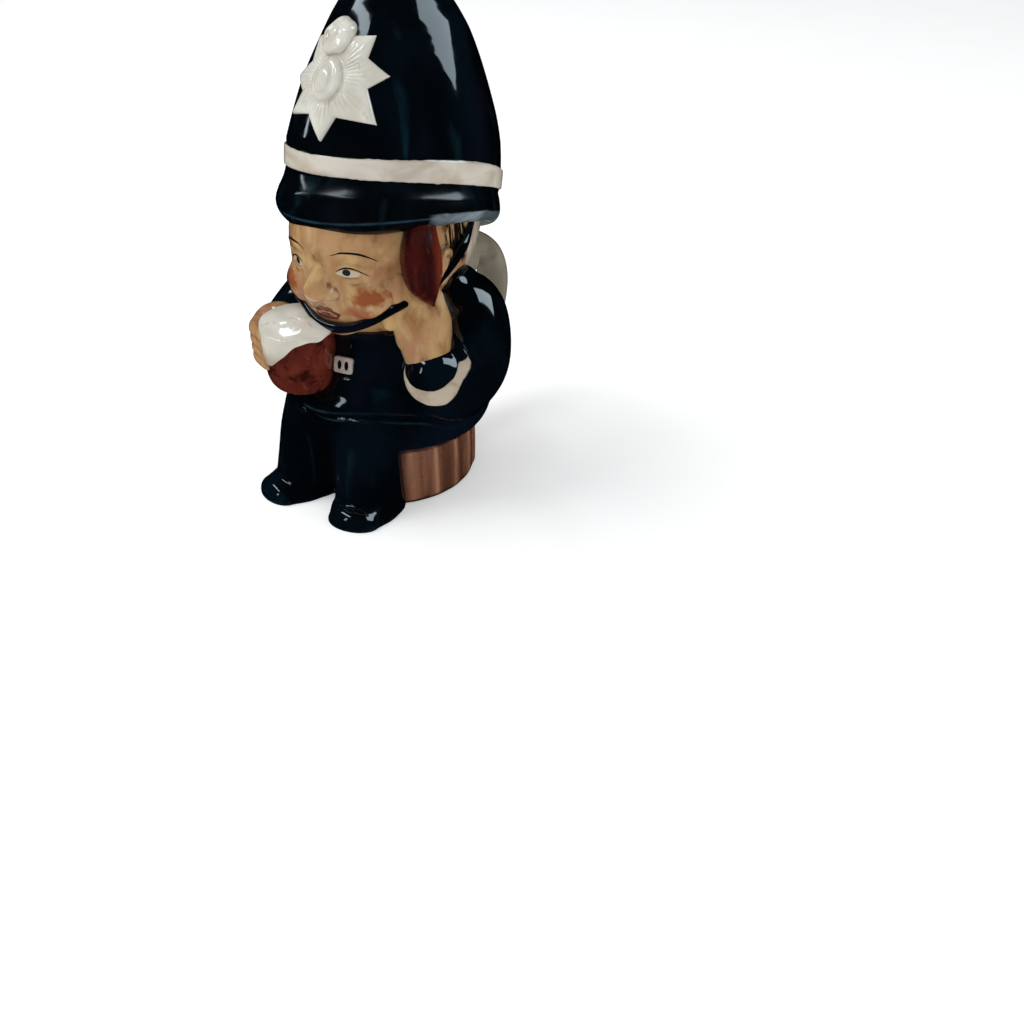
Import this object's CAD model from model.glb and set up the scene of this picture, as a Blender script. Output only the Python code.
# %% [markdown]
# # A figural milk jug in glazed earthenware
# The real thing is slip-cast in one piece and painted by hand under a clear glossy glaze: a policeman who sits on a
# barrel and drinks from a mug. His helmet is the jug's open top, and a plain handle grows out of his back. We build
# each painted area as its own mesh, so that each gets the fine detail and the finish that it has on the real jug.

from math import cos, pi, radians, sin, tan, tau

import bmesh
import bpy
import numpy as np
from mathutils import Matrix, Vector


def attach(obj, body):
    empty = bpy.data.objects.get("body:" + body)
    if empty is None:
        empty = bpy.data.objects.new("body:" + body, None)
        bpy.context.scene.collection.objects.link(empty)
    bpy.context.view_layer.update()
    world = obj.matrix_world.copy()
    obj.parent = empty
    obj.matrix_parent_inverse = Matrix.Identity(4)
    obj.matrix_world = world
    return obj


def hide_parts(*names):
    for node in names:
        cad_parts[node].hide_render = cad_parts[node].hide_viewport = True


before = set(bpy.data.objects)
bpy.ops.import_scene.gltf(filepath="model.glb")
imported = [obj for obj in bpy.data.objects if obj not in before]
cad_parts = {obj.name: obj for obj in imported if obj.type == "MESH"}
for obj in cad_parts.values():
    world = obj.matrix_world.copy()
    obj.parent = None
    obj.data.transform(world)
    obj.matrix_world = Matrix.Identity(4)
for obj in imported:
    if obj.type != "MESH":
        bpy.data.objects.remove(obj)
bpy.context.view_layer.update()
scene = bpy.context.scene

# %% [markdown]
# ## The drawing
# The figure is drawn in millimetres, with its zero in the middle of the barrel's foot. It faces -Y, its left is +X.
# The finished jug stands on the middle of its own box instead, so every mesh is moved by MIDDLE at the end.

# %% Sizes in millimetres
MIDDLE = np.array([1.58, 13.48, 0.0])
TOP = 157.0
WALL = 4.2
FLOOR = 6.0
MOUTH = 9.8
LIP_REACH = 4.5
TILT = 15.0
ROLL = -4.5
BAND_ROLL = -2.0
BARREL = 29.6
STAVES = 21


# %% [markdown]
# ## Skins from rings
# Nearly every form here is a stack of rings: a lathe shape has level rings, an arm has rings across its route. One
# function turns a stack into faces, and another rounds a short table of rings into a smooth curve through them.

# %% Ring helpers
def smooth_rows(rows, per):
    """Rows on a Catmull-Rom curve through the rows of a table, with per steps in each gap."""
    rows = np.array(rows, float)
    ends = np.vstack([2 * rows[0] - rows[1], rows, 2 * rows[-1] - rows[-2]])
    t = np.linspace(0, 1, per, endpoint=False)[:, None]
    made = []
    for a, b, c, d in zip(ends, ends[1:], ends[2:], ends[3:]):
        made.append(b + (c - a) * t / 2 + (2 * a - 5 * b + 4 * c - d) * t**2 / 2 + (3 * b - a - 3 * c + d) * t**3 / 2)
    return np.vstack([*made, rows[-1:]])


def skin(rings, looped=False):
    """Points and faces of a skin over rings, closed by a fan at each end or by joining its last ring to its first."""
    rings = np.asarray(rings, float)
    count, sides = rings.shape[:2]
    points = rings.reshape(-1, 3)
    low = np.arange(count if looped else count - 1)[:, None] * sides
    here, there = np.arange(sides)[None], (np.arange(sides)[None] + 1) % sides
    high = (low + sides) % (count * sides)
    faces = np.stack([low + here, low + there, high + there, high + here], -1).reshape(-1, 4).tolist()
    if not looped:
        for k, ring in ((0, rings[0]), (count - 1, rings[-1])):
            points = np.vstack([points, ring.mean(0)])
            faces += [[k * sides + i, k * sides + (i + 1) % sides, len(points) - 1] for i in range(sides)]
    return points, faces


def turned(rows, sides=120, roll=0.0, more=0.0):
    """Rings from rows of (middle y, middle z, half width, half depth, backward tilt, dip)."""
    y, z, wide, deep, tilt, dip = (column[:, None] for column in np.array(rows, float).T)
    angle = np.arange(sides)[None] * tau / sides
    across = (wide + more) * np.cos(angle)
    along = (deep + more) * np.sin(angle)
    lift = -along * np.tan(np.radians(tilt)) - across * np.tan(np.radians(roll * tilt / TILT)) + dip * np.cos(2 * angle)
    return np.stack([across, y + along, z + lift], -1)


def tube(route, sides=28, per=8, flat=1.0, across=(1, 0, 0)):
    """Rings round a route of (x, y, z, radius), with round ends. flat is its thickness over its width along across."""
    path = smooth_rows(route, per)
    tangent = np.gradient(path[:, :3], axis=0)
    tangent /= np.linalg.norm(tangent, axis=1)[:, None]
    across = np.array(across, float)
    side = across - tangent * (tangent @ across)[:, None]
    side /= np.linalg.norm(side, axis=1)[:, None]
    up = np.cross(tangent, side)
    angle = np.arange(sides) * tau / sides
    rings = []
    bend = np.radians(np.linspace(-84, 0, 7))
    for k in range(len(path)):
        for turn in bend if k == 0 else -bend[::-1] if k == len(path) - 1 else (0.0,):
            radius = path[k, 3] * cos(turn)
            middle = path[k, :3] + tangent[k] * path[k, 3] * flat * sin(turn)
            rings.append(middle + radius * (np.outer(np.cos(angle), side[k]) + flat * np.outer(np.sin(angle), up[k])))
    return rings


def ball(middle, radii, turn=(0, 0, 0), sides=32, rows=20):
    """Rings of an ellipsoid, turned by degrees about X, then Y, then Z."""
    spin = Matrix.Rotation(radians(turn[2]), 3, "Z") @ Matrix.Rotation(radians(turn[1]), 3, "Y")
    spin = np.array(spin @ Matrix.Rotation(radians(turn[0]), 3, "X"))
    latitude = pi * ((np.arange(rows) + 0.5) / rows - 0.5)[:, None]
    angle = np.arange(sides)[None] * tau / sides
    level_out, rise = np.cos(latitude), np.sin(latitude) + 0 * angle
    unit = np.stack([level_out * np.cos(angle), level_out * np.sin(angle), rise], -1)
    return np.array(middle) + (unit * np.array(radii)) @ spin.T


# %% [markdown]
# ## From forms to a piece
# A modelled area such as the tunic starts as several overlapping forms. A voxel remesh fuses them into one skin, and
# smoothing then rounds the creases a little, as slip and glaze do in a plaster mould.

# %% Making, fusing and cutting meshes
def make(name, skins):
    """An object from one or more skins in the drawing's millimetres, with its faces pointing out."""
    points, faces, first = [], [], 0
    for part_points, part_faces in skins:
        points.append(part_points)
        faces += [[first + i for i in face] for face in part_faces]
        first += len(part_points)
    data = bpy.data.meshes.new(name)
    data.from_pydata(((np.vstack(points) - MIDDLE) / 1000).tolist(), [], faces)
    mesh = bmesh.new()
    mesh.from_mesh(data)
    bmesh.ops.recalc_face_normals(mesh, faces=mesh.faces)
    mesh.to_mesh(data)
    mesh.free()
    data.shade_smooth()
    made = bpy.data.objects.new(name, data)
    scene.collection.objects.link(made)
    return made


def tell(*pieces):
    for piece in pieces:
        print(piece.name, "has", len(piece.data.polygons), "faces")


def settle(piece):
    """Replaces a piece's mesh with the result of its modifiers."""
    graph = bpy.context.evaluated_depsgraph_get()
    mesh = bpy.data.meshes.new_from_object(piece.evaluated_get(graph), depsgraph=graph)
    piece.modifiers.clear()
    piece.data = mesh
    mesh.shade_smooth()


def fuse(piece, voxel, passes):
    """Fuses overlapping forms at a voxel size in millimetres, then smooths."""
    remesh = piece.modifiers.new("fuse", "REMESH")
    remesh.mode = "VOXEL"
    remesh.voxel_size = voxel / 1000
    settle(piece)
    smooth = piece.modifiers.new("smooth", "SMOOTH")
    smooth.factor = 0.5
    smooth.iterations = passes
    settle(piece)
    return piece


def hollowed(piece, cutters):
    """Cuts the space inside the jug from a piece."""
    for cutter in cutters:
        cut = piece.modifiers.new("cut", "BOOLEAN")
        cut.operation = "DIFFERENCE"
        cut.solver = "MANIFOLD"
        cut.object = cutter
    settle(piece)
    return piece


def places(piece):
    """A piece's points in the drawing's millimetres."""
    points = np.empty(len(piece.data.vertices) * 3)
    piece.data.vertices.foreach_get("co", points)
    return points.reshape(-1, 3) * 1000 + MIDDLE


def move(piece, points):
    piece.data.vertices.foreach_set("co", ((points - MIDDLE) / 1000).ravel())
    piece.data.update()


def outward(piece):
    """The direction that a piece's skin faces at each point."""
    normals = np.empty(len(piece.data.vertices) * 3)
    piece.data.vertices.foreach_get("normal", normals)
    return normals.reshape(-1, 3)


def mark(piece, name, values):
    """Stores a number for each point, which a material can read."""
    layer = piece.data.attributes.get(name) or piece.data.attributes.new(name, "FLOAT", "POINT")
    layer.data.foreach_set("value", np.asarray(values, np.float32))


def crease(piece, reach=3):
    """Marks how hollow (+) or raised (-) the skin is: glaze pools in hollows and thins on raised edges."""
    points, normals = places(piece), outward(piece)
    edges = np.empty(len(piece.data.edges) * 2, int)
    piece.data.edges.foreach_get("vertices", edges)
    first, second = edges.reshape(-1, 2).T
    count = np.bincount(first, minlength=len(points)) + np.bincount(second, minlength=len(points))
    around = np.zeros_like(points)
    np.add.at(around, first, points[second])
    np.add.at(around, second, points[first])
    bend = (((around / np.maximum(count, 1)[:, None]) - points) * normals).sum(1)
    for _ in range(reach):
        spread = np.bincount(first, bend[second], len(points)) + np.bincount(second, bend[first], len(points))
        bend = (bend + spread) / (count + 1)
    mark(piece, "crease", bend)


def strokes(piece, paths):
    """How deep each point lies inside brush strokes, in millimetres. A stroke is a path of (x, y, z, half width)."""
    points = places(piece)
    deepest = np.full(len(points), -9.0)
    for path in paths:
        path = smooth_rows(path, 8)
        for row in path:
            row[:3] = 1000 * np.array(piece.closest_point_on_mesh((row[:3] - MIDDLE) / 1000)[1]) + MIDDLE
        low, high = path[:, :3].min(0) - 3, path[:, :3].max(0) + 3
        near = np.flatnonzero(((points > low) & (points < high)).all(1))
        best = np.full(len(near), -9.0)
        for a, b in zip(path, path[1:]):
            along = b[:3] - a[:3]
            share = np.clip(((points[near] - a[:3]) @ along) / max(along @ along, 1e-9), 0, 1)
            apart = np.linalg.norm(points[near] - a[:3] - share[:, None] * along, axis=1)
            best = np.maximum(best, a[3] + (b[3] - a[3]) * share - apart)
        deepest[near] = np.maximum(deepest[near], best)
    return deepest


def press(piece, path, depth, width):
    """Presses (or, below zero, raises) a soft groove along a path of (x, y, z) into a piece."""
    inside = strokes(piece, [[(*place, 0.0) for place in path]])
    move(piece, places(piece) - outward(piece) * (depth * np.exp(-((inside / width) ** 2)))[:, None])


def refine(piece, chosen):
    """Divides the faces whose points are all chosen, so that thin brush strokes stay crisp."""
    mesh = bmesh.new()
    mesh.from_mesh(piece.data)
    mesh.verts.ensure_lookup_table()
    inside = [edge for edge in mesh.edges if all(chosen[v.index] for v in edge.verts)]
    bmesh.ops.subdivide_edges(mesh, edges=inside, cuts=1, use_grid_fill=True, smooth=0.0)
    mesh.to_mesh(piece.data)
    mesh.free()
    piece.data.shade_smooth()


# %% [markdown]
# ## The space inside
# Slip is poured out of the mould once a wall has formed, so the space inside follows the outside one wall in. The
# same cutters open the barrel, the body and the head, and the mouth in the helmet's top leads into them.

# %% Outlines that the outside and the inside share
DOME = (
    (12.4, 109.4, 32.8), (13.4, 113, 32.1), (14.6, 119, 30.5), (15.5, 125, 28.5), (16.6, 131, 26.1),
    (17.8, 137, 23.4), (18.7, 143, 20.4), (19, 147, 17.9), (19, 150, 15.9),
)
BRIM = (
    (8, 89, 26.5, 14, 2.6), (7.6, 87, 30.2, 14, 3), (7.4, 87.6, 33, 14, 3), (7.4, 89.8, 34.7, 14, 2.6),
    (7.7, 92.6, 35, 14, 1.8), (8.6, 96, 34.2, 14, 0.9),
)
HEAD = (
    (1, 57, 15, 16, 0), (0, 60.5, 19.5, 21.5, 0), (0, 65.5, 23, 26, 0), (1.5, 72, 25.7, 29.5, 2),
    (3.5, 79, 27, 32, 6), (5.5, 86, 27.5, 33.5, 10), (8, 93, 27, 32, 11), (10, 100, 25, 28, 11),
)
TORSO = (
    (2, 26, 29, 26), (0.5, 36, 31, 28.5), (0, 46, 30, 27.5), (1, 54, 28, 26), (2, 60, 26, 23.5), (2.5, 65, 21, 20.5),
    (2, 68, 17, 18),
)
SEAT = (
    (1, 17, 25, 24), (1, 20, 30, 28.5), (1, 24, 34, 31.5), (1, 29, 36, 32.5), (1, 35, 36.5, 32.5), (1, 41, 34, 31),
    (1, 47, 30, 28),
)
LAP = (
    (-5, 31.5, 24, 25), (-5, 33, 27.5, 27.5), (-5, 35.5, 28.5, 28.5), (-4, 39.5, 28.5, 27.5), (-2, 44, 28, 25.5),
    (0, 48.5, 27, 25),
)
LEFT_LEG = ((9.5, -22.5, 30, 10.5), (9, -23.5, 22, 11.4), (9, -24.5, 12, 12), (9.8, -26, 1, 12))
RIGHT_LEG = ((-13.5, -22.5, 30, 10.5), (-14.5, -23.5, 22, 11.4), (-15.5, -24.5, 12, 12), (-17, -26, 1, 12.2))


def level(rows):
    """Rows with no tilt and no dip."""
    return [(*row, 0, 0) for row in rows]


def pour(angle):
    """How far the mouth reaches out at an angle, to make the pouring lip at the figure's front."""
    return LIP_REACH * np.exp(-(((angle - 1.5 * pi) / 0.4) ** 2))


# %% The cutters
inner = BARREL - WALL
space = level([(0, FLOOR, 0.82 * inner, 0.82 * inner), (0, FLOOR + 2.5, inner, inner), (0, 22, inner, inner)])
space += level([(y, z, wide - WALL, deep - WALL) for y, z, wide, deep in TORSO[1:5]])
space += [(y, z, 0.86 * (wide - WALL), 0.86 * (deep - WALL), tilt, 0) for y, z, wide, deep, tilt in HEAD[2:3]]
space += [(y, z, wide - WALL, deep - WALL, tilt, 0) for y, z, wide, deep, tilt in HEAD[3:6]]
space += [(y, z, radius - WALL, radius - WALL, TILT, 0) for y, z, radius in ((10.8, 100, 32.4), *DOME[:3])]
cutters = [make("space_inside", [skin(turned(smooth_rows(space, 6), 96))])]
for name, leg in (("left", LEFT_LEG), ("right", RIGHT_LEG)):
    route = [(x, y, z, radius - WALL) for x, y, z, radius in leg[:2]]
    x, y, _, radius = leg[2]
    route.append((x, y, FLOOR + radius - WALL, radius - WALL))
    cutters.append(make(f"space_in_{name}_leg", [skin(tube(route))]))
print("cutters:", [cutter.name for cutter in cutters])

# %% [markdown]
# ## The helmet
# The helmet is turned: one profile runs from the brim's foot over the band and the dome to the rolled rim of the
# mouth, and back down inside. We make it straight from the profile, with no remesh, because its mirror-like glaze
# would show the smallest ripple.

# %% Turning the helmet
BAND_TALL, BAND_OUT = 5.7, 0.7
profile = [(*row, 0.0, ROLL) for row in smooth_rows(BRIM, 9)[:-1]]
foot, head_row = np.array([11, 99.6, 32.9, 17.4, 1.4]), np.array([12.2, 99.6 + BAND_TALL, 32.9, 18.1, 2.2])
under = np.array([8.6, 96, 34.2, 14, 0.9])
for share in np.linspace(0, 1, 8)[:-1]:
    row = under + (foot - under) * share
    row[2] = 32.95 + 1.25 * (1 - share) ** 2
    profile.append((*row, 0.0, ROLL + (BAND_ROLL - ROLL) * share))
band_start = len(profile)
for share in np.linspace(0, 1, 18):
    row = foot + (head_row - foot) * share
    row[2] += BAND_OUT * min(1.0, 14 * share, 14 * (1 - share)) ** 0.5
    profile.append((*row, 0.0, BAND_ROLL))
band_end = len(profile)
dome_foot = np.array([*DOME[0], TILT, 0])
for share in np.linspace(0, 1, 10)[1:-1]:
    row = head_row + (dome_foot - head_row) * share
    row[2] = 32.85
    profile.append((*row, 0.0, BAND_ROLL + (ROLL - BAND_ROLL) * share))
profile += [(y, z, radius, TILT, 0, 0, ROLL) for y, z, radius in smooth_rows(DOME, 12)]
rim = (
    (19, 150, 15.9, 15, 0, 0), (19, 152.04, 14.05, 9, 0, 0.3), (19, 153.6, 14.05, 3, 0, 0.7), (19, 155, 14.55, 0, 0, 1),
    (19, 156.3, 14.5, 0, 0, 1), (19, TOP, 13.2, 0, 0, 1), (19, TOP, 11.4, 0, 0, 1), (19, 156.3, 10.1, 0, 0, 1),
    (19, 154.8, MOUTH, 0, 0, 0.7), (19, 152.5, MOUTH, 2, 0, 0.3), (19, 150, 11.3, 15, 0, 0),
)
profile += [(*row, ROLL) for row in smooth_rows(rim, 6)[1:]]
inside = [(19, 150, 11.3)] + [(y, z, radius - WALL) for y, z, radius in DOME[-2::-1]]
inside += [(10.8, 100, 28.2), (9.4, 95, 27.4)]
profile += [(y, z, radius, TILT, 0, 0, ROLL) for y, z, radius in smooth_rows(inside, 5)[1:]]
profile = np.array(profile)
SIDES = 256
y, z, radius, tilt, dip, share, roll = profile.T
reach = share[:, None] * pour(np.arange(SIDES)[None] * tau / SIDES)
rings = turned(np.stack([y, z, radius, radius, tilt, dip], 1), SIDES, roll[:, None], reach)
helmet = make("helmet", [skin(rings, looped=True)])
tell(helmet)

# %% [markdown]
# ### Where the helmet's colours go
# The painted edges follow the turned profile, so they are stored with it, as millimetres inside each area: the white
# band, the pale lining, the line where glaze drains off the rim, and the paler underside behind the ear. One more
# number says where the brim's glaze is a little duller.

# %% Marking the helmet
RIM_LINE_UP, UNDERSIDE_UP, LINING_UP = 90.3, 91.8, 155.6
row = np.arange(len(profile))
outer = row < np.argmax(z)
across_band = (row - band_start) / (band_end - 1 - band_start)
mark(helmet, "band", np.repeat(BAND_TALL * np.minimum(across_band, 1 - across_band), SIDES))
mark(helmet, "lining", np.repeat(np.where(outer | (z > LINING_UP), -1.0, 1.0), SIDES))
around = np.degrees((np.arange(SIDES) * tau / SIDES + pi) % tau - pi)[None]
brim_up = np.where(outer & (z < 97), z, 999)[:, None]
mark(helmet, "rim_line", np.ravel(0.5 - abs(brim_up - RIM_LINE_UP) + 0 * around))
ends = np.minimum(0.12 * (around + 32), 0.1 * (120 - around))
mark(helmet, "underside", np.ravel(np.minimum(UNDERSIDE_UP - brim_up, ends)))
duller = np.clip((around + 108) / 10, 0, 1) * np.clip((75 - around) / 10, 0, 1)
mark(helmet, "dull", np.ravel(np.where(row[:, None] < band_start, duller, 0.0)))

# %% [markdown]
# ## The badge
# The helmet's star is sprigged on: eight fluted rays round a domed boss, with a crown over the top ray. Each part is
# a patch of points that fans out from its middle to its outline, lifted off the dome by a height that a short formula
# gives, so the fine flutes cost no modelling by hand.

# %% Height patches on the dome
BADGE_UP, BADGE_TURN, BADGE_REACH = 126.0, -3.5, 18.8
dome_rows = smooth_rows(DOME, 12)


def on_dome(x, up, out):
    """Places on the dome x millimetres round from the badge's middle, at a height, and a distance out."""
    y = np.interp(up, dome_rows[:, 1], dome_rows[:, 0])
    radius = np.interp(up, dome_rows[:, 1], dome_rows[:, 2])
    middle = np.interp(BADGE_UP, dome_rows[:, 1], dome_rows[:, 2])
    angle = x / middle + radians(BADGE_TURN)
    across, along = (radius + out) * np.sin(angle), -(radius + out) * np.cos(angle)
    lift = -along * tan(radians(TILT)) - across * tan(radians(ROLL))
    return np.stack([across, y + along, up + lift], -1)


def patch(outline, height, middle=(0.0, 0.0), count=480, steps=70):
    """A closed patch on the dome. outline(angle) is its reach, and height(angle, share, x, rise) its thickness."""
    angle = np.arange(count)[None] * tau / count
    share = (np.linspace(0, 1, steps)[1:] ** 0.8)[::-1, None]
    x = share * outline(angle) * np.sin(angle)
    rise = share * outline(angle) * np.cos(angle)
    edge = np.clip(1 - share**14, 0, 1) ** 0.5
    up = BADGE_UP + 0.93 * (rise + middle[1])
    rings = on_dome(x + middle[0], up, height(angle, share, x, rise) * edge)
    foot = on_dome((x + middle[0])[:1], up[:1], -1.5 + 0 * x[:1])
    return skin(np.concatenate([foot, rings]))


STAR = (
    (0, 0.7), (22, 0.66), (47, 0.93), (64, 0.67), (87, 0.98), (103, 0.68), (129, 1.08), (158, 0.66),
    (176, 0.99), (205, 0.64), (231, 0.95), (249, 0.66), (271, 0.98), (292, 0.66), (314, 0.93), (338, 0.66),
)
corners = np.radians([corner[0] for corner in STAR] + [360])
ends = BADGE_REACH * np.array([corner[1] for corner in STAR] + [STAR[0][1]])
steps = np.linspace(0, 16, 16 * 24 + 1)
edge_x = np.interp(steps, range(17), ends * np.sin(corners))
edge_rise = np.interp(steps, range(17), ends * np.cos(corners))
edge_angle = np.unwrap(np.arctan2(edge_x, edge_rise))
edge_reach = np.hypot(edge_x, edge_rise)


def star_outline(angle):
    return np.interp(angle, edge_angle, edge_reach)


def star_height(angle, share, x, rise):
    tips, notches = corners[0::2], corners[1::2]
    near_tip = np.abs(angle - tips[:, None]).min(0)[None]
    near_notch = np.abs(angle - notches[:, None]).min(0)[None]
    side = near_tip / (near_tip + near_notch)
    flutes = np.cos(angle * 50) * np.clip((share - 0.34) * 5, 0, 1) * np.clip((0.86 - share) * 5, 0, 1)
    ridge = (1 - side) * np.clip((share - 0.3) * 2.2, 0, 1)
    x, rise = x + 0.4, rise + 0.9
    round_boss = np.hypot(x / 5.4, rise / 6.1)
    boss = np.clip(1 - round_boss**2, 0, 1)
    oval = np.clip(1 - ((x + 0.3) / 2.6) ** 2 - (rise / 3.9) ** 2, 0, 1)
    moat = np.exp(-(((round_boss - 1.13) / 0.13) ** 2))
    ring = np.exp(-(((np.hypot(x / 3.1, rise / 4.5) - 1) / 0.16) ** 2))
    rays = 1.1 + 0.6 * ridge - 0.35 * share + 0.12 * flutes
    return rays + 1.5 * boss**0.5 + 0.5 * oval**0.5 - 0.3 * moat - 0.15 * ring


def crown_outline(angle):
    return 5.4 + 0.9 * np.sin(angle) ** 2 + 0.3 * np.cos(5 * angle + 0.6)


def crown_height(angle, share, x, rise):
    dome = np.clip(1 - (x / 8) ** 2 - (rise / 7) ** 2, 0, 1) ** 0.55
    arches = np.cos(5 * angle) * np.clip((share - 0.35) * 3, 0, 1) * np.clip((0.95 - share) * 6, 0, 1)
    dimple = np.exp(-(((np.hypot(x + 0.6, rise - 1) - 2.2) / 0.8) ** 2))
    return 1.0 + 2.0 * dome + 0.2 * arches - 0.5 * dimple


badge = make("badge", [patch(star_outline, star_height), patch(crown_outline, crown_height, (-1.0, 11.4), 240, 50)])
tell(badge)

# %% [markdown]
# ## The head
# The face is a plain, calm one: brows under the brim, the eyes' line a little below, the nose ending halfway down to
# the chin and the mouth a third of the way below it. Soft forms are fused first, then the lids, the mouth and the
# nostrils are pressed in as a modeller would with a tool.

# %% Modelling the head
def both_ways(*half):
    """A route across the face from its first half, which ends on the middle line."""
    return [*half, *((-x, *rest) for x, *rest in half[-2::-1])]


forms = [
    turned(smooth_rows([(*row, 0) for row in HEAD], 6), 96),
    ball((0, 1, 61), (20, 22.4, 7)),
    tube(((0, -24, 87, 2.4), (0, -27.5, 81.5, 2.8), (0, -30.2, 77, 3.9))),
    ball((0, -19.5, 62.5), (7.5, 5, 4.5)),
    tube(both_ways((-6.2, -22.4, 69.2, 0.9), (-2, -25.2, 70.2, 1.6), (0, -25.5, 69.9, 1.5))),
    tube(both_ways((-5, -22.2, 67.9, 1.1), (0, -24.6, 67.1, 1.9))),
]
for side in (1, -1):
    forms += [
        ball((side * 12.5, -19.5, 74), (9, 6.5, 7.5), (0, 0, side * 35)),
        ball((side * 3.5, -28.2, 75.8), (2.4, 2.9, 2.1)),
        ball((side * 9.8, -23.2, 82.7), (4.4, 2.9, 2.6), (0, 0, side * 22)),
        tube(((side * 4, -25.6, 87, 1.5), (side * 10, -24.8, 88, 2), (side * 17, -19.8, 86.5, 1.4))),
        ball((side * 26.5, -2.5, 80), (2.4, 3.9, 6)),
        tube(
            (
                (side * 27.8, -5.2, 77.6, 0.9), (side * 28.4, -3.8, 84.4, 1), (side * 28, 0.2, 84.6, 1),
                (side * 27.6, 1.2, 79, 0.8),
            )
        ),
    ]
head = hollowed(fuse(make("head", [skin(form) for form in forms]), 0.5, 4), cutters[:1])
for side in (1, -1):
    press(head, ((side * 5.4, -25.5, 85), (side * 9.8, -26, 85.7), (side * 14.6, -22.5, 84.7)), 0.45, 0.55)
    press(head, ((side * 5.8, -25.6, 81.9), (side * 9.8, -26.2, 81.4), (side * 13.8, -23.4, 81.6)), 0.35, 0.4)
    press(head, ((side * 5.6, -25, 79.9), (side * 10, -25.2, 79.2), (side * 14.6, -22, 79.9)), 0.3, 0.7)
    press(head, ((side * 2.1, -30.6, 73.3), (side * 3.4, -29.8, 73.4)), 0.3, 0.6)
    press(head, ((side * 5.6, -27.6, 77.6), (side * 6.2, -26.6, 75.6), (side * 5.4, -26.6, 73.8)), 0.25, 0.7)
press(head, both_ways((-6.4, -22.8, 68.9), (-2.5, -26, 68.7), (0, -26.4, 68.5)), 0.4, 0.6)
press(head, ((0, -27.8, 73.6), (0, -27, 71.6)), 0.3, 0.6)
tell(head)

# %% [markdown]
# ### Painting the head
# The decorator's brush leaves flat strokes with crisp ends. Each is kept as a distance on the mesh, in millimetres
# inside the stroke, and the material paints wherever that is above zero. The mesh is finer round the eyes and the
# mouth, so that a hair's-breadth line stays sharp.

# %% Brush strokes on the head
for _ in range(2):
    x, y, z = places(head).T
    eyes = (y < -17) & (z > 79.5) & (z < 90.5) & (abs(x) < 19) & (abs(x) > 3)
    lips = (y < -18) & (z > 65) & (z < 72) & (abs(x) < 8)
    refine(head, eyes | lips)
x, y, z = places(head).T
ink, lids = [], []
for side in (1, -1):
    brow = ((4.6, -26.6, 87.6, 0.12), (9, -26.8, 88.9, 0.3), (13.5, -24, 88.3, 0.34), (17.4, -20.6, 86.2, 0.1))
    upper_lid = ((5.6, -25.7, 82.9, 0.1), (8.6, -26.4, 84.2, 0.3), (11.6, -25.6, 84, 0.26), (15, -22.6, 81.9, 0.12))
    lower_lid = ((5.8, -25.8, 81.7, 0.05), (9.8, -26.2, 81.1, 0.14), (13.8, -23.4, 81.4, 0.05))
    for drawn, path in ((ink, brow), (ink, upper_lid), (lids, lower_lid)):
        drawn.append([(side * place_x, *rest) for place_x, *rest in path])
upper_lip = both_ways((-5.6, -23.2, 69.2, 0.3), (-2, -26, 70, 1.1), (0, -26.4, 69.7, 1))
lower_lip = both_ways((-4.4, -23.4, 67.8, 0.4), (0, -26, 67.4, 1.2))
on_face = {
    "ink": strokes(head, ink),
    "lid_line": strokes(head, lids),
    "lips": strokes(head, [upper_lip, lower_lip]),
    "iris": 1 - np.hypot((abs(x) - 9.4) / 1.25, (z - 82.9) / 1.15),
    "eye_white": 1 - np.hypot((abs(x) - 9.6) / 3.7, (z - 82.5) / 1.25),
    "dab": 1 - np.hypot((abs(x) - 15.5) / 6.2, (z - 75.6) / 3.6),
    "sweep": 1 - np.hypot((abs(x) - 12.5) / 6.8, (z - 72.6 + 0.25 * abs(x)) / 3.4),
}
for name, inside in on_face.items():
    mark(head, name, np.where(y < -12, inside, -9))
hair = np.minimum(y + 2.0, z - 76.5 - 0.1 * y)
mark(head, "hair", np.where(x > 0, np.minimum(hair, 11.5 - y), hair))
mark(head, "nape", np.minimum(np.minimum(y - 11.0, 90 - z), x))
crease(head)
print("head painted:", sum(len(face.vertices) - 2 for face in head.data.polygons), "triangles")

# %% [markdown]
# ## The tunic, trousers and boots
# One dark glaze covers all the clothes, so they are fused into one piece. Rolls and folds are added as forms of their
# own, and the seams and creases are pressed in afterwards.

# %% Modelling the clothes
collar = ((1.5, 57, 24, 24), (1, 60, 23.4, 24.4), (1, 61.8, 21.5, 22.6))
forms = [turned(smooth_rows(level(rows), 6), 110) for rows in (SEAT, TORSO, LAP)]
forms += [turned(smooth_rows(level(collar), 5), 96), ball((-3.2, -21.5, 13), (6.8, 8.5, 21))]
for leg, turn in ((LEFT_LEG, 2), (RIGHT_LEG, -4)):
    x = leg[-1][0]
    forms.append(tube(leg, 44))
    forms.append(tube(((x, -25, 0.4, 12), (x + turn / 2, -32, 0.4, 11.6), (x + turn, -38, 0.3, 9.3)), 44, flat=0.61))
forms += [
    tube(
        (
            (23, 7.5, 66, 11.5), (28.5, 8, 60.5, 13), (33, 2, 50, 13.2), (31.5, -4, 43.5, 12.6), (29.5, -7.5, 43, 12),
            (28.2, -9.3, 45, 11.8),
        ),
        44,
    ),
    tube(((29, -7, 43, 12.2), (28.6, -9.2, 45.4, 12), (28.7, -11, 47.4, 10.8)), 44, across=(0.77, 0.64, 0)),
    tube(((-20, 9, 59, 11.5), (-29, 4, 57, 11.5), (-32.5, -5, 51, 11), (-30, -14, 48, 10.5), (-26, -20, 50, 9.5)), 44),
]
clothes = hollowed(fuse(make("clothes", [skin(form) for form in forms]), 0.56, 7), cutters)
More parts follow.
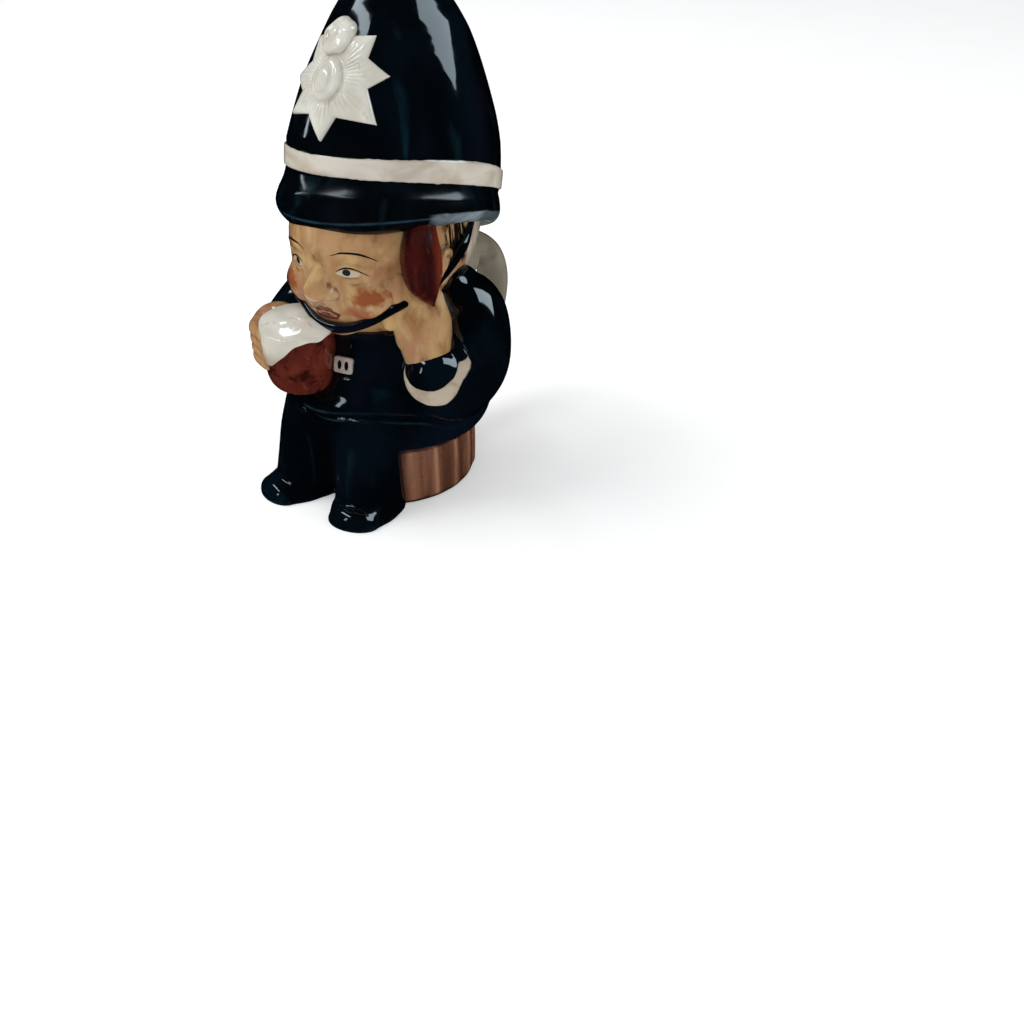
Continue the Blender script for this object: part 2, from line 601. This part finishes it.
belt = ((-20, -20, 46), (-8, -26, 46.6), (6.3, -26.3, 47.3), (13.5, -24.2, 46.5), (21, -19.7, 44.9), (27, -8, 44))
hem = ((-24, -18, 34), (-10, -31.6, 33.8), (3, -33, 35.4), (15, -30.4, 37), (23.5, -22.9, 36), (32, -6, 33))
sleeve_fold = (
    (31.9, -5.6, 62.9, 0.05), (33.7, -6.1, 61.2, 0.3), (36.3, -6.7, 59.4, 0.3), (38.9, -7.2, 56.9, 0.25),
    (41.4, -7.3, 54.1, 0.1), (43.3, -6.2, 51.4, 0.0),
)
press(clothes, belt, 0.5, 0.5)
press(clothes, hem, 0.9, 0.7)
points = places(clothes)
points[:, 2] = np.maximum(points[:, 2], 0.0)
move(clothes, points)
press(clothes, [place[:3] for place in sleeve_fold], 0.7, 0.9)
points = places(clothes)
stripe = np.minimum(points @ (0.384, -0.782, 0.491) - 48.4, 56.3 - points @ (0.203, -0.585, 0.785))
mark(clothes, "fold", strokes(clothes, [sleeve_fold[:5]]))
mark(clothes, "stripe", np.where(points[:, 0] > 19.5, stripe, -9))
crease(clothes)
tell(clothes)

# %% [markdown]
# ## The barrel
# The seat is a barrel with its staves shown as shallow flutes. It is turned, and it carries the foot: a ring left
# bare of glaze, with a shallow recess inside it.

# %% Turning the barrel
foot_inner = BARREL * 0.95 - 5.0
rows = [(0, 1.0, 0.1), (0, 1.0, foot_inner - 0.6), (0, 0.7, foot_inner), (0, 0.0, foot_inner + 0.5), (0, 0.0, 26.2)]
rows += [(0, 0.0, 28.0), (0, 0.3, 28.45), (0, 1.2, 28.9)]
rows += [(0, up, BARREL * (1 - 0.015 * ((up - 12) / 13) ** 2)) for up in np.linspace(2, 30, 40)]
rows += [(0, 32, 27.5)]
rows = np.array(rows)
sides = STAVES * 20
angle = np.arange(sides)[None] * tau / sides
STAVE_TURN, STAVE_DEEP = radians(3.5), 0.5
valley = np.abs(np.cos((angle - STAVE_TURN) * STAVES / 2))
worn = 1 + 0.35 * np.sin(5 * angle + 1) + 0.25 * np.sin(11 * angle)
groove = STAVE_DEEP * valley**3 * worn * np.clip(rows[:, 1:2] / 2, 0, 1)
rings = turned(level(rows[:, [0, 1, 2, 2]]), sides, more=-groove)
barrel = make("barrel", [skin(rings)])
mark(barrel, "valley", [*np.ravel(valley + 0 * rows[:, :1]), 0, 0])
hollowed(barrel, cutters[:1])
mark(barrel, "up", places(barrel)[:, 2])
tell(barrel)

# %% [markdown]
# ## The handle
# The handle is a flattened strap of clay, thick at its upper root and luted on at the seat.

# %% Modelling the handle
route = (
    (0, 28, 67, 8.45), (0, 42, 67, 7.93), (0, 54.5, 64.5, 7.15), (0, 63.5, 57.5, 6.5), (0, 66.5, 47, 6.5),
    (0, 62.5, 35, 6.5), (0, 52.5, 25.5, 6.5), (0, 39.5, 20.5, 6.5), (0, 27, 19, 7.15),
)
handle = make("handle", [skin(tube(route, 40, 10, 9 / 13)), skin(ball((0, 36, 63), (8.1, 19, 9), (-8, 0, 0)))])
fuse(handle, 0.5, 10)
hollowed(handle, cutters[:1])
tell(handle)

# %% [markdown]
# ## The hands
# Cast hands are soft: fingers are shallow rolls on a mitten of clay. The left hand holds the truncheon against the
# head, the right one holds the mug.

# %% Modelling the hands
slant = (0.77, 0.64, 0)
left = [
    tube(((28.4, -11, 45, 6.6), (27.2, -11.6, 52, 7.4), (25, -11, 61, 8.8)), 36, flat=0.9, across=slant),
    tube(((25, -11, 60, 9), (24.4, -11, 66, 9.2), (24, -10.5, 72, 7.4)), 36, flat=0.72, across=slant),
]
right = [tube(((-26, -18, 51, 7.5), (-25.5, -24, 55, 8)), 36), ball((-22.5, -26, 57.5), (8.4, 9, 8.2))]
for k in range(4):
    x, y, z = 17.5 + 2.6 * k, -18.5 + 2.2 * k, 62 - 3.1 * k
    left.append(tube(((x + 0.5, y, 66, 2.6), (x, y - 0.5, 73, 2.6), (x, y + 0.5, 80, 2.3)), 20))
    right.append(tube(((-24.5, -29, z, 2.6), (-22, -35.5, z - 0.5, 2.6), (-16, -38.8, z - 1, 2.2)), 20))
hands = fuse(make("hands", [skin(form) for form in left + right]), 0.36, 7)
for name in (*on_face, "hair", "nape"):
    mark(hands, name, np.full(len(hands.data.vertices), -9.0))
crease(hands)
tell(hands)

# %% [markdown]
# ## The mug, its foam and the truncheon
# The mug is turned and leans towards the drinker. The foam is a lathe shape too, but its lower edge runs down in one
# tongue at the side, and its top is soft and uneven. The truncheon is a spindle with a pointed end.

# %% Modelling what the figure holds
MUG, MUG_TALL = 11.3, 21.6
lean = np.array(Matrix.Rotation(radians(6), 3, "Y") @ Matrix.Rotation(radians(4), 3, "X"))
mug_foot = np.array([-11.6, -28.8, 42.2])
mug_top = mug_foot + lean @ np.array([0, 0, MUG_TALL])


def leaning(middle, up, radius, sides):
    """Rings of the leaning mug and foam, from a height and a radius for each ring or each point."""
    angle = np.arange(sides)[None] * tau / sides
    up, radius = np.broadcast_arrays(up, radius + 0 * angle)
    return middle + np.stack([radius * np.cos(angle), radius * np.sin(angle), up], -1) @ lean.T


def foam_foot(angle):
    return -0.6 - 10.4 * np.exp(-(np.abs((angle - radians(240)) / 0.87) ** 3))


side_rows = smooth_rows(((0, 0.4), (0.15, 0.62), (1.2, 0.83), (4, 0.96), (8, 1), (13, 1.005), (MUG_TALL, 1)), 8)
mug = make("mug", [skin(leaning(mug_foot, side_rows[:, :1], MUG * side_rows[:, 1:2], 144))])
angle = np.arange(192)[None] * tau / 192
down = np.linspace(0, 1, 26)[:, None]
low = foam_foot(angle) + 0.25 * np.sin(7 * angle) + 0.15 * np.sin(13 * angle + 2)
side_up = 0.6 + (low - 0.6) * down
thick = np.clip(-low / 6, 0.25, 1)
side_out = MUG * (1.0 + 0.075 * thick * np.sin(pi * (0.15 + 0.8 * down)) ** 0.6)
share = np.linspace(1, 0.02, 24)[:, None]
top_up = 0.6 + 1.5 * (1 - share**2.4) + 0.25 * np.sin(3 * angle + 4 * share) * share * (1 - share) * 3
rings = np.concatenate(
    [
        leaning(mug_top, low, MUG * 0.9, 192),
        leaning(mug_top, side_up[::-1], side_out[::-1], 192),
        leaning(mug_top, top_up, MUG * (1 + 0.034 * thick) * share, 192),
    ]
)
foam = make("foam", [skin(rings)])
mark(foam, "up", places(foam)[:, 2])
crease(foam)
route = (
    (30.4, -12.5, 72.4, 0.5), (29.2, -13, 75.6, 3.2), (27.4, -12.9, 80, 5.7), (26, -11.8, 87, 6.2),
    (24.6, -9.6, 94, 4.84),
)
truncheon = make("truncheon", [skin(tube(route, 72, 14))])
points = places(truncheon)
mark(truncheon, "across", (points - np.array([27, -13, 80])) @ np.array([0.766, 0.643, 0]))
tell(mug, foam, truncheon)

# %% [markdown]
# ## The chin strap and the buckle
# Both are thin raised shapes: the strap runs under the chin and up behind the cheeks to the brim, and the belt's
# plate has two dark ovals in it.

# %% Modelling the strap and the buckle
half_strap = [
    (26.4, 14, 89.5, 1.3), (28.8, 6.5, 85.3, 1.7), (28.4, 3, 82.4, 1.7), (28.2, -0.9, 80, 1.6), (27.6, -4.5, 77.8, 1.4),
    (26.4, -9, 75, 1.3), (20.9, -19, 71.6, 1.4), (12.6, -22.8, 66.4, 1.5), (5, -26.2, 64, 1.6),
]
other_half = [(-3.2, -26.8, 64.4, 1.5), (-11, -24, 67.2, 1.3)]
other_half += [(-x, y, z, radius) for x, y, z, radius in half_strap[-3::-1]]
strap = make("chin_strap", [skin(tube(half_strap + other_half, 24, 12))])
plate_middle = np.array([4.0, -26.1, 51.1])
turn = np.array(Matrix.Rotation(radians(9), 3, "Z") @ Matrix.Rotation(radians(-15), 3, "X"))
angle = np.arange(160) * tau / 160
square = (abs(np.cos(angle)) ** 8 + abs(np.sin(angle)) ** 8) ** -0.125
rings = []
for share, out in ((1, -2.0), (1, 0.45), (0.97, 0.58), *((s, 0.62) for s in np.linspace(0.92, 0.04, 30))):
    x, up = 3.3 * share * square * np.cos(angle), 2.6 * share * square * np.sin(angle)
    ovals = np.exp(-(np.hypot((abs(x) - 1.25) / 0.75, up / 1.55) ** 6))
    rings.append(plate_middle + np.stack([x, -out + 0.3 * ovals, up], -1) @ turn.T)
buckle = make("buckle", [skin(rings)])
local = (places(buckle) - plate_middle) @ turn
mark(buckle, "ovals", 1 - np.hypot((abs(local[:, 0]) - 1.25) / 0.75, local[:, 2] / 1.55))
tell(strap, buckle)

# %% [markdown]
# ## Finishes
# Everything is the same ware: fired clay, colours laid on with a brush, and a clear glaze over all of it. A glaze's
# IOR is about 1.5 and its roughness well under 0.1, which gives the eye wet highlights with crisp edges.

# %% Colours and nodes
def colour(hexa):
    """An sRGB hex colour as the linear numbers that shaders use."""
    parts = [int(hexa[i : i + 2], 16) / 255 for i in (1, 3, 5)]
    return (*(c / 12.92 if c <= 0.04045 else ((c + 0.055) / 1.055) ** 2.4 for c in parts), 1)


def add(tree, kind, sets=None, links=None, **options):
    """Adds a node, sets its options and unlinked sockets (a hex string is a colour), and links the others."""
    made = tree.nodes.new("ShaderNode" + kind)
    for option, value in options.items():
        setattr(made, option, value)
    for socket, value in (sets or {}).items():
        made.inputs[socket].default_value = colour(value) if isinstance(value, str) else value
    for socket, source in (links or {}).items():
        tree.links.new(source, made.inputs[socket])
    return made


# %% [markdown]
# ### Brush marks
# A paint is a ground with coats over it, as a decorator works, and each coat has a mask: either a patchy wash from
# noise, sized in millimetres and stretched along the brush's path, or an edge that was stored on the mesh, with the
# little wobble of a hand.

# %% Masks and coats
def brushed(tree, size, low, high, stretch=1, wave=0.6, detail=3.0, within=None):
    """A mask of soft patches, size millimetres wide and size / stretch tall. within is a mask that holds them in."""
    place = add(tree, "TexCoord").outputs["Object"]
    place = add(tree, "Mapping", {"Scale": [1000 / size * s for s in (1, 1, stretch)]}, {"Vector": place}).outputs[0]
    grain = add(tree, "TexNoise", {"Scale": 1.0, "Detail": detail, "Distortion": wave}, {"Vector": place}).outputs[0]
    links = {"Value": grain} if within is None else {"Value": grain, "To Max": within}
    return add(tree, "MapRange", {"From Min": low, "From Max": high}, links, interpolation_type="SMOOTHSTEP").outputs[0]


def marked(tree, name, start, full, wobble=0.0, size=2.0):
    """A mask from the numbers stored on the mesh under a name: 0 up to start, 1 from full on, with a wobbly edge."""
    stored = add(tree, "Attribute", attribute_name=name).outputs["Fac"]
    if wobble:
        shake = brushed(tree, size, 0.0, 1.0)
        stored = add(tree, "Math", {1: wobble}, {0: shake, 2: stored}, operation="MULTIPLY_ADD").outputs[0]
        stored = add(tree, "Math", {1: 0.5 * wobble}, {0: stored}, operation="SUBTRACT").outputs[0]
    sets = {"From Min": start, "From Max": full}
    return add(tree, "MapRange", sets, {"Value": stored}, interpolation_type="SMOOTHSTEP").outputs[0]


def coats(tree, ground, *layers):
    """Lays coats over a ground. Each is a mask and a colour, and a colour is hex or a socket."""
    for mask, over in layers:
        sets, links = {}, {0: mask}
        for socket, value in ((6, ground), (7, over)):
            (sets if isinstance(value, str) else links)[socket] = value
        ground = add(tree, "Mix", sets, links, data_type="RGBA").outputs[2]
    return ground


# %% [markdown]
# ### The clear glaze
# One function puts the clear glaze over a paint. Its roughness drifts from patch to patch, and its skin swells by
# hundredths of a millimetre, which gives a window's reflection the wavy edge that fired glaze has.

# %% Glazing
GLAZE_IOR, RIPPLE, RIPPLE_WIDE, DULLER = 1.52, 0.04, 5.0, 0.12


def dress(name, paint, *pieces, rough=(0.04, 0.09), coat=0.4):
    """Puts a painted and clear-glazed material on pieces. paint(tree) returns the socket of its colour."""
    made = bpy.data.materials.new(name)
    made.use_nodes = True
    tree = made.node_tree
    shader = tree.nodes["Principled BSDF"].inputs
    shader["IOR"].default_value = GLAZE_IOR
    shader["Coat Weight"].default_value = coat
    shader["Coat Roughness"].default_value = 0.03
    shader["Coat IOR"].default_value = GLAZE_IOR
    tree.links.new(paint(tree), shader["Base Color"])
    patches = brushed(tree, 7.0, 0.3, 0.7)
    gloss = add(tree, "MapRange", {"To Min": rough[0], "To Max": rough[1]}, {"Value": patches}).outputs[0]
    dull = add(tree, "Attribute", attribute_name="dull").outputs["Fac"]
    gloss = add(tree, "Math", {1: DULLER}, {0: dull, 2: gloss}, operation="MULTIPLY_ADD").outputs[0]
    tree.links.new(gloss, shader["Roughness"])
    swell = brushed(tree, RIPPLE_WIDE, 0.0, 1.0, wave=0.0, detail=1.0)
    bump = add(tree, "Bump", {"Strength": 1.0, "Distance": RIPPLE / 1000}, {"Height": swell}).outputs[0]
    tree.links.new(bump, shader["Normal"])
    tree.links.new(bump, shader["Coat Normal"])
    for piece in pieces:
        piece.data.materials.clear()
        piece.data.materials.append(made)
    print(name, "on", [piece.name for piece in pieces])


# %% [markdown]
# ### Navy glaze
# The uniform's glaze is nearly black where it is thick, with a hint of violet, and turns teal where the brush left it
# thin or an edge drained it. The helmet and the clothes add their white stripes over it.

# %% Navy, the clothes and the helmet
def navy(tree):
    return coats(
        tree,
        "#03070b",
        (brushed(tree, 22, 0.4, 0.75, 0.45), "#07131c"),
        (brushed(tree, 26, 0.55, 0.8, 0.6), "#0e0c1b"),
        (brushed(tree, 9, 0.58, 0.85, 0.3), "#0e2832"),
        (marked(tree, "crease", -0.014, -0.06), "#203840"),
    )


def uniform(tree):
    stripe = coats(tree, "#c2b3a0", (brushed(tree, 6, 0.4, 0.7), "#ab9b86"))
    thin_fold = (marked(tree, "fold", 0.0, 0.3), "#5a6a74")
    return coats(tree, navy(tree), thin_fold, (marked(tree, "stripe", 0.0, 0.2, 0.5, 4), stripe))


def helmet_paint(tree):
    ribbon = coats(tree, "#dcd4c8", (brushed(tree, 14, 0.35, 0.75, 2), "#bfb2a2"))
    thin = coats(tree, "#4f5c64", (brushed(tree, 9, 0.4, 0.7, 2), "#87939a"))
    slip = coats(tree, "#c9c4b4", (brushed(tree, 8, 0.4, 0.7), "#b8b3a0"))
    return coats(
        tree,
        navy(tree),
        (marked(tree, "rim_line", 0.0, 0.5, 0.3, 6), "#1f3a46"),
        (marked(tree, "underside", 0.0, 0.8, 0.8, 8), thin),
        (marked(tree, "band", 0.0, 0.12, 0.5, 4), ribbon),
        (marked(tree, "lining", 0.0, 0.2), slip),
    )


# %% [markdown]
# ### Ivory glaze
# The badge and the foam are the pale clay itself under clear glaze, warmer in faint patches and greyer where the glaze
# pooled in the flutes. The foam is warm in its low tongue. The belt's plate is off-white with two black ovals.

# %% Badge, foam and plate
def ivory(tree):
    return coats(
        tree,
        "#e6e3d9",
        (brushed(tree, 9, 0.35, 0.7), "#d6d1c4"),
        (brushed(tree, 3, 0.58, 0.8), "#c2b6a6"),
        (marked(tree, "crease", 0.003, 0.022), "#968b7b"),
    )


def froth(tree):
    return coats(tree, ivory(tree), (marked(tree, "up", 60.5, 53.5), "#b9ac9b"))


def plate(tree):
    ground = coats(tree, "#b9aca3", (brushed(tree, 3, 0.4, 0.7), "#a3958b"))
    return coats(tree, ground, (marked(tree, "ovals", 0.0, 0.12), "#0a1015"))


# %% [markdown]
# ### Browns
# The mug is a red-brown that went mottled in the firing. The barrel is brushed downwards in a thinner brown, dark in
# the valleys and worn light on the staves' ribs, and its foot is wiped bare. The truncheon is a dark mahogany with
# long streaks and a lighter edge.

# %% Mug, barrel and truncheon
def brown_mug(tree):
    return coats(
        tree,
        "#54211a",
        (brushed(tree, 7, 0.35, 0.7, 0.8), "#6c2f22"),
        (brushed(tree, 4, 0.6, 0.85), "#8a4833"),
        (brushed(tree, 5.5, 0.48, 0.7), "#320f0c"),
    )


def barrel_brown(tree):
    rib, seam = marked(tree, "valley", 0.5, 0.05), marked(tree, "valley", 0.45, 1.0)
    return coats(
        tree,
        "#8a5b43",
        (brushed(tree, 5.0, 0.3, 0.7, 0.1, 0.3), "#6a422e"),
        (brushed(tree, 3.2, 0.52, 0.8, 0.08, 0.2), "#56331f"),
        (brushed(tree, 3.6, 0.55, 0.85, 0.08, 0.2), "#9b6c50"),
        (brushed(tree, 7, 0.3, 0.6, 0.25, within=rib), "#a5755b"),
        (brushed(tree, 5, 0.2, 0.65, 0.2, within=seam), "#573324"),
        (marked(tree, "up", 2.2, 0.6), "#2c1710"),
        (marked(tree, "up", 0.12, 0.02), "#cdbb9d"),
    )


def mahogany(tree):
    return coats(
        tree,
        "#470f0a",
        (brushed(tree, 2.8, 0.35, 0.7, 0.08, 0.0), "#2e0908"),
        (brushed(tree, 1.8, 0.56, 0.78, 0.06, 0.0), "#5d2113"),
        (marked(tree, "across", 3.0, 5.8), "#7a2c16"),
    )


# %% [markdown]
# ### Grey-green glaze
# The handle has a thin greyish glaze like a celadon, with large soft patches and no brush marks.

# %% Handle
def celadon(tree):
    return coats(
        tree,
        "#857e6d",
        (brushed(tree, 16, 0.35, 0.7), "#958f80"),
        (brushed(tree, 9, 0.55, 0.8, 0.5), "#726b5a"),
    )


# %% [markdown]
# ### Flesh
# The skin is the most painted part: a tan ground, cream, ochre and brown washes, an orange dab and a pinker sweep on
# each cheek, dark lips, and thin black lines for brows, lids and hair.

# %% Face and hands
def flesh(tree):
    neck = coats(tree, "#d5c9ba", (brushed(tree, 2.5, 0.45, 0.6, 0.12, 0.2), "#a98f79"))
    hair = marked(tree, "hair", 0.0, 3.0, 4.0, 2.5)
    return coats(
        tree,
        "#bf966c",
        (brushed(tree, 11, 0.35, 0.7, 0.7), "#a87d54"),
        (brushed(tree, 8, 0.52, 0.8, 0.6), "#d3b98f"),
        (brushed(tree, 7, 0.48, 0.72, 0.8, 0.4), "#c9a774"),
        (brushed(tree, 6.5, 0.5, 0.78, 0.6, 0.5), "#8a5938"),
        (brushed(tree, 12, 0.55, 0.78), "#b47f66"),
        (marked(tree, "crease", 0.006, 0.045), "#8a5d42"),
        (marked(tree, "dab", 0.0, 0.55, 0.7, 2.5), "#955434"),
        (marked(tree, "sweep", 0.0, 0.6, 0.8, 2.5), "#a8684a"),
        (marked(tree, "nape", 0.0, 1.0, 1.5, 3), neck),
        (marked(tree, "lips", 0.0, 0.3, 0.4, 1.5), "#6f3024"),
        (marked(tree, "eye_white", 0.0, 0.12), "#c9b79d"),
        (marked(tree, "iris", 0.0, 0.15), "#1f2b2c"),
        (marked(tree, "lid_line", 0.0, 0.08), "#5d3a2c"),
        (marked(tree, "ink", 0.0, 0.08, 0.12, 1.0), "#0c1316"),
        (brushed(tree, 0.9, 0.36, 0.46, 0.08, 0.15, within=hair), "#1c1513"),
    )


# %% [markdown]
# ### Glazing each piece
# Most pieces have the wet glaze with a second clear layer on it. The helmet has one layer, and the barrel and the
# truncheon a duller one, so no sharp highlight breaks up their brush strokes.

# %% Dressing the pieces
SATIN = (0.2, 0.32)
dress("navy glazed earthenware", navy, strap)
dress("navy glaze with a cuff stripe", uniform, clothes)
dress("navy glaze with white band", helmet_paint, helmet, coat=0.0)
dress("ivory glazed earthenware", ivory, badge)
dress("ivory glazed froth", froth, foam)
dress("flesh glazed earthenware", flesh, head, hands)
dress("red-brown glazed mug", brown_mug, mug)
dress("brown glazed barrel", barrel_brown, barrel, rough=SATIN, coat=0.0)
dress("mahogany glaze", mahogany, truncheon, rough=SATIN, coat=0.0)
dress("celadon glazed earthenware", celadon, handle)
dress("white glaze with black ovals", plate, buckle)

# %% [markdown]
# ## Handing the pieces over
# All the pieces ride on the jug's one body, and the helmet's mesh stands for the plain solid.

# %% Riding on the body
PIECES = (helmet, badge, head, clothes, barrel, handle, hands, mug, foam, truncheon, strap, buckle)
for cutter in cutters:
    bpy.data.objects.remove(cutter)
for piece in PIECES:
    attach(piece, "root")
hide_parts("jug")
print("triangles:", sum(len(face.vertices) - 2 for piece in PIECES for face in piece.data.polygons))

# %% [markdown]
# ## Floor, light and camera
# The floor is white paper that glows a little, so that it stays white round the jug. A wet glaze shows what stands
# round it, so the room and the floor are hidden from reflections, and only window-like panels draw highlights.

# %% The floor
scene.view_settings.view_transform = "Standard"
bpy.ops.mesh.primitive_plane_add(size=6)
floor = bpy.context.object
floor.name = "floor"
floor.visible_glossy = False
paper = bpy.data.materials.new("white paper")
paper.use_nodes = True
sheet = paper.node_tree.nodes["Principled BSDF"].inputs
tone = coats(paper.node_tree, "#fbfbfb", (brushed(paper.node_tree, 60, 0.3, 0.7), "#f9f9f9"))
paper.node_tree.links.new(tone, sheet["Base Color"])
sheet["Roughness"].default_value = 0.9
sheet["Emission Color"].default_value = (1, 1, 1, 1)
sheet["Emission Strength"].default_value = 0.3
floor.data.materials.append(paper)

# %% [markdown]
# ### Light
# Each panel stands in the mirror direction of the highlight it makes: the long one on the helmet's right and on the
# shoulder, the short one above the badge, and two narrow gaps that one piece each shows. The main light comes from
# the upper left and isn't mirrored.

# %% The lights
world = bpy.data.worlds.new("studio")
scene.world = world
world.use_nodes = True
sky = world.node_tree.nodes["Background"].inputs
sky["Color"].default_value = colour("#f3f6f8")
sky["Strength"].default_value = 0.62
world.cycles_visibility.glossy = False
PANELS_AWAY, PANELS_AIM = 1.2, Vector((0, 0, 0.1))


def panel(name, turned_to, height, wide, tall, bright, tint="#dfeaf2", spin=0.0, mirrored=True):
    """A rectangular light in a direction given in degrees. bright is its radiance, and the glaze may show it or not."""
    data = bpy.data.lights.new(name, "AREA")
    data.shape = "RECTANGLE"
    data.size, data.size_y = wide, tall
    data.energy = bright * pi * wide * tall
    data.color = colour(tint)[:3]
    made = bpy.data.objects.new(name, data)
    turned_to, height = radians(turned_to), radians(height)
    toward = Vector((cos(turned_to) * cos(height), sin(turned_to) * cos(height), sin(height)))
    made.location = toward * PANELS_AWAY + PANELS_AIM
    facing = (-toward).to_track_quat("-Z", "Y").to_matrix() @ Matrix.Rotation(radians(spin), 3, "Z")
    made.rotation_euler = facing.to_euler()
    made.visible_glossy = mirrored
    scene.collection.objects.link(made)
    return made


panel("window_right", 36, 44, 0.5, 0.85, 6.5, "#c4d6e2", 24).visible_diffuse = False
panel("window_left", -146, 50, 0.8, 0.12, 8.0, "#d6e6f0", 22)
panel("fill_right", 10, 15, 0.8, 0.8, 0.7, "#fff4e8", mirrored=False)
panel("window_behind", 146, 52, 0.14, 0.2, 7.0)
panel("key_left", -158, 48, 1.0, 0.8, 2.4, "#fffaf2", mirrored=False)
for name, lit, placed in (
    ("gap_left", helmet, (-166, 20, 0.06, 0.36, 6.0)),
    ("gap_front", clothes, (-114, 30, 0.12, 0.3, 5.0)),
):
    group = bpy.data.collections.new(name + "_lights")
    group.objects.link(lit)
    panel(name, *placed, "#d6e6f0").light_linking.receiver_collection = group

# %% [markdown]
# ### The camera
# The camera looks 35.5 degrees down, from 32 degrees round to the figure's left. It stands only 0.36 m off, so the
# helmet looks large and the boots small. FOCAL is its focal length in pixels of a picture PICTURE pixels wide.

# %% The camera
PITCH, TURN, AWAY, HIGH, ASIDE = radians(35.5), radians(32.0), 306.0, 195.0, -42.8
FOCAL, PICTURE, SENSOR = 990.0, 1024, 36
ahead = np.array([-sin(TURN), cos(TURN), 0])
right_hand = np.array([cos(TURN), sin(TURN), 0])
eye = -(AWAY * ahead + ASIDE * right_hand) + np.array([0, 0, HIGH])
sight = ahead * cos(PITCH) - np.array([0, 0, 1]) * sin(PITCH)
upward = np.cross(right_hand, sight)
camera = bpy.data.objects.new("camera", bpy.data.cameras.new("camera"))
scene.collection.objects.link(camera)
camera.data.sensor_fit = "HORIZONTAL"
camera.data.sensor_width = SENSOR
camera.data.lens = FOCAL / PICTURE * SENSOR
camera.data.clip_start = 0.01
turned_to = Matrix((Vector(right_hand), Vector(upward), -Vector(sight))).transposed().to_4x4()
camera.matrix_world = Matrix.Translation((eye - MIDDLE) / 1000) @ turned_to
scene.camera = camera
print("lens:", round(camera.data.lens, 1), "mm")
